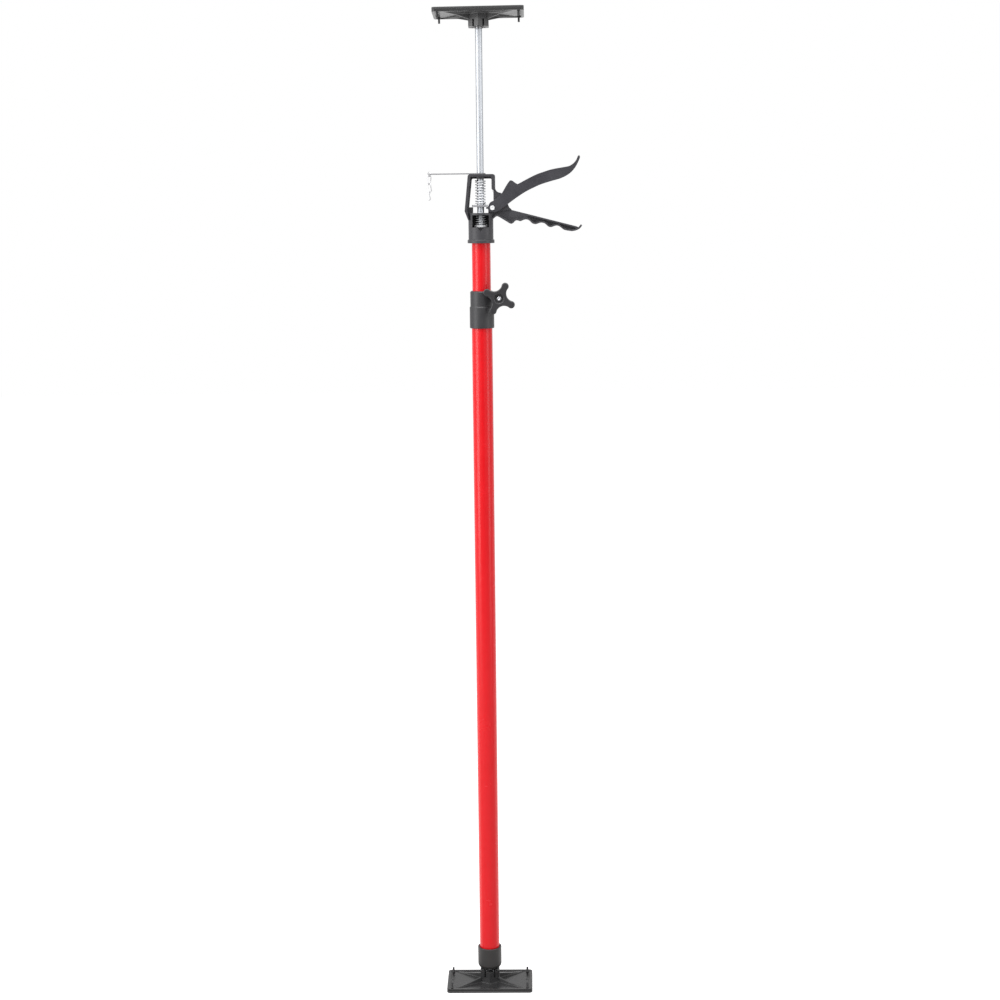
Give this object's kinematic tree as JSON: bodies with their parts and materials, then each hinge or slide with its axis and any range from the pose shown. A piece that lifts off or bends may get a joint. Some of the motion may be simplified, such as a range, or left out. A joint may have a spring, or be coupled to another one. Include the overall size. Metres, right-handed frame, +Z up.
{
  "type": "telescopic drywall support pole",
  "caption": "Telescopic support pole that holds boards overhead: clamped sliding tubes, lever head that pumps a rod, brake lever and swivelling padded plates.",
  "frame": {"origin": "centre of the ground face of the foot pad, on the axis of the pole", "axes": "+Z up along the pole, +X towards the hand lever, -Y towards the clamp knob"},
  "size_m": [0.2234, 0.0758, 1.4637],
  "materials": {
    "pad_rubber": "soft matt rubber",
    "plate_plastic": "moulded, light grain",
    "ball_steel": "turned and zinc plated",
    "clip_steel": "blackened spring steel",
    "cap_plastic": "moulded, light grain",
    "tube_red": "glossy red powder coat on steel",
    "collar_plastic": "moulded, light grain",
    "bolt_zinc": "zinc plated",
    "knob_plastic": "moulded, light grain",
    "head_paint": "satin dark grey paint on cast metal",
    "lever_paint": "satin dark grey paint on steel",
    "rivet_steel": "bright rivet",
    "drive_zinc": "hardened plate, zinc plated",
    "spring_steel": "bright spring wire",
    "washer_bright": "bright plated steel",
    "rod_chrome": "ground and chrome plated steel",
    "nylon": "black nylon",
    "brake_steel": "zinc plated strip",
    "chain_steel": "zinc plated wire"
  },
  "bodies": {
    "lower_pole": {"foot_cap": "cap_plastic", "lower_tube": "tube_red", "clamp_collar": "collar_plastic", "clamp_bolt": "bolt_zinc"},
    "foot_stud": {"foot_ball": "ball_steel", "foot_clip": "clip_steel"},
    "base": {"base_plate": "plate_plastic", "base_pad": "pad_rubber"},
    "knob_carrier": {"clamp_washer": "bolt_zinc"},
    "knob": {"clamp_knob": "knob_plastic", "knob_nut": "bolt_zinc"},
    "upper_pole": {"upper_tube": "tube_red", "tube_guide": "nylon", "head_body": "head_paint", "head_rivet": "rivet_steel", "lever_rivet": "rivet_steel", "main_spring": "spring_steel", "stop_spring": "spring_steel"},
    "trigger": {"trigger_lever": "lever_paint"},
    "drive": {"drive_plate": "drive_zinc"},
    "stop": {"stop_washer": "washer_bright"},
    "rod_slide_body": {"rod": "rod_chrome", "rod_stop": "nylon"},
    "top_stud": {"top_ball": "ball_steel"},
    "top": {"top_plate": "plate_plastic", "top_pad": "pad_rubber"},
    "brake": {"brake_lever": "brake_steel"},
    "ring": {"chain_ring": "chain_steel"},
    "link_1": {"chain_link_1": "chain_steel"},
    "link_2": {"chain_link_2": "chain_steel"},
    "link_3": {"chain_link_3": "chain_steel"}
  },
  "joints": [
    {"name": "foot_turn", "type": "hinge", "parent": "lower_pole", "child": "foot_stud", "pos_m": [0, 0, 0.0147], "axis": [0, 0, 1], "continuous": true},
    {"name": "foot_tilt", "type": "hinge", "parent": "foot_stud", "child": "base", "pos_m": [0, 0, 0.0147], "axis": [1, 0, 0], "range_deg": [-13, 13]},
    {"name": "knob_travel", "type": "slide", "parent": "lower_pole", "child": "knob_carrier", "axis": [0, -1, 0], "range_m": [0, 0.002]},
    {"name": "knob_turn", "type": "hinge", "parent": "knob_carrier", "child": "knob", "pos_m": [0.0256, 0, 1.0528], "axis": [0, -1, 0], "range_deg": [0, 720]},
    {"name": "tube_slide", "type": "slide", "parent": "lower_pole", "child": "upper_pole", "axis": [0, 0, 1], "range_m": [-0.068, 0.735]},
    {"name": "trigger_squeeze", "type": "hinge", "parent": "upper_pole", "child": "trigger", "pos_m": [0.017, 0, 1.1823], "axis": [0, 1, 0], "range_deg": [0, 28], "stiffness_Nm_per_rad": 0.25, "springref_deg": -34.38},
    {"name": "drive_lift", "type": "slide", "parent": "upper_pole", "child": "drive", "axis": [0, 0, 1], "range_m": [0, 0.0039], "deforming": ["main_spring"]},
    {"name": "stop_lift", "type": "slide", "parent": "upper_pole", "child": "stop", "axis": [0, 0, 1], "range_m": [0, 0.008], "stiffness_N_per_m": 400, "springref_m": -0.01, "deforming": ["stop_spring"]},
    {"name": "rod_slide", "type": "slide", "parent": "upper_pole", "child": "rod_slide_body", "axis": [0, 0, 1], "range_m": [-0.195, 0.55]},
    {"name": "top_turn", "type": "hinge", "parent": "rod_slide_body", "child": "top_stud", "pos_m": [0, 0, 1.4462], "axis": [0, 0, 1], "continuous": true},
    {"name": "top_tilt", "type": "hinge", "parent": "top_stud", "child": "top", "pos_m": [0, 0, 1.4462], "axis": [1, 0, 0], "range_deg": [-9.5, 16.5]},
    {"name": "brake_tilt", "type": "hinge", "parent": "upper_pole", "child": "brake", "pos_m": [-0.018, 0, 1.2304], "axis": [0, -1, 0], "range_deg": [0, 4]},
    {"name": "ring_turn", "type": "hinge", "parent": "brake", "child": "ring", "pos_m": [-0.07395, 0.00244, 1.2309], "axis": [0.766, 0.6428, 0], "range_deg": [-40, 40]},
    {"name": "link_1_swing", "type": "hinge", "parent": "ring", "child": "link_1", "pos_m": [-0.07395, 0.00244, 1.2277], "axis": [0.6428, -0.766, 0], "range_deg": [-25, 25]},
    {"name": "link_2_swing", "type": "hinge", "parent": "link_1", "child": "link_2", "pos_m": [-0.07395, 0.00244, 1.2165], "axis": [0.342, 0.9397, 0], "range_deg": [-25, 25]},
    {"name": "link_3_swing", "type": "hinge", "parent": "link_2", "child": "link_3", "pos_m": [-0.07395, 0.00244, 1.2053], "axis": [-0.9848, -0.1736, 0], "range_deg": [-25, 25]}
  ],
  "couplings": [
    {"joint": "knob_travel", "follows": "knob_turn", "m_per_rad": 0.00015915},
    {"joint": "drive_lift", "follows": "trigger_squeeze", "m_per_rad": 0.0078}
  ]
}
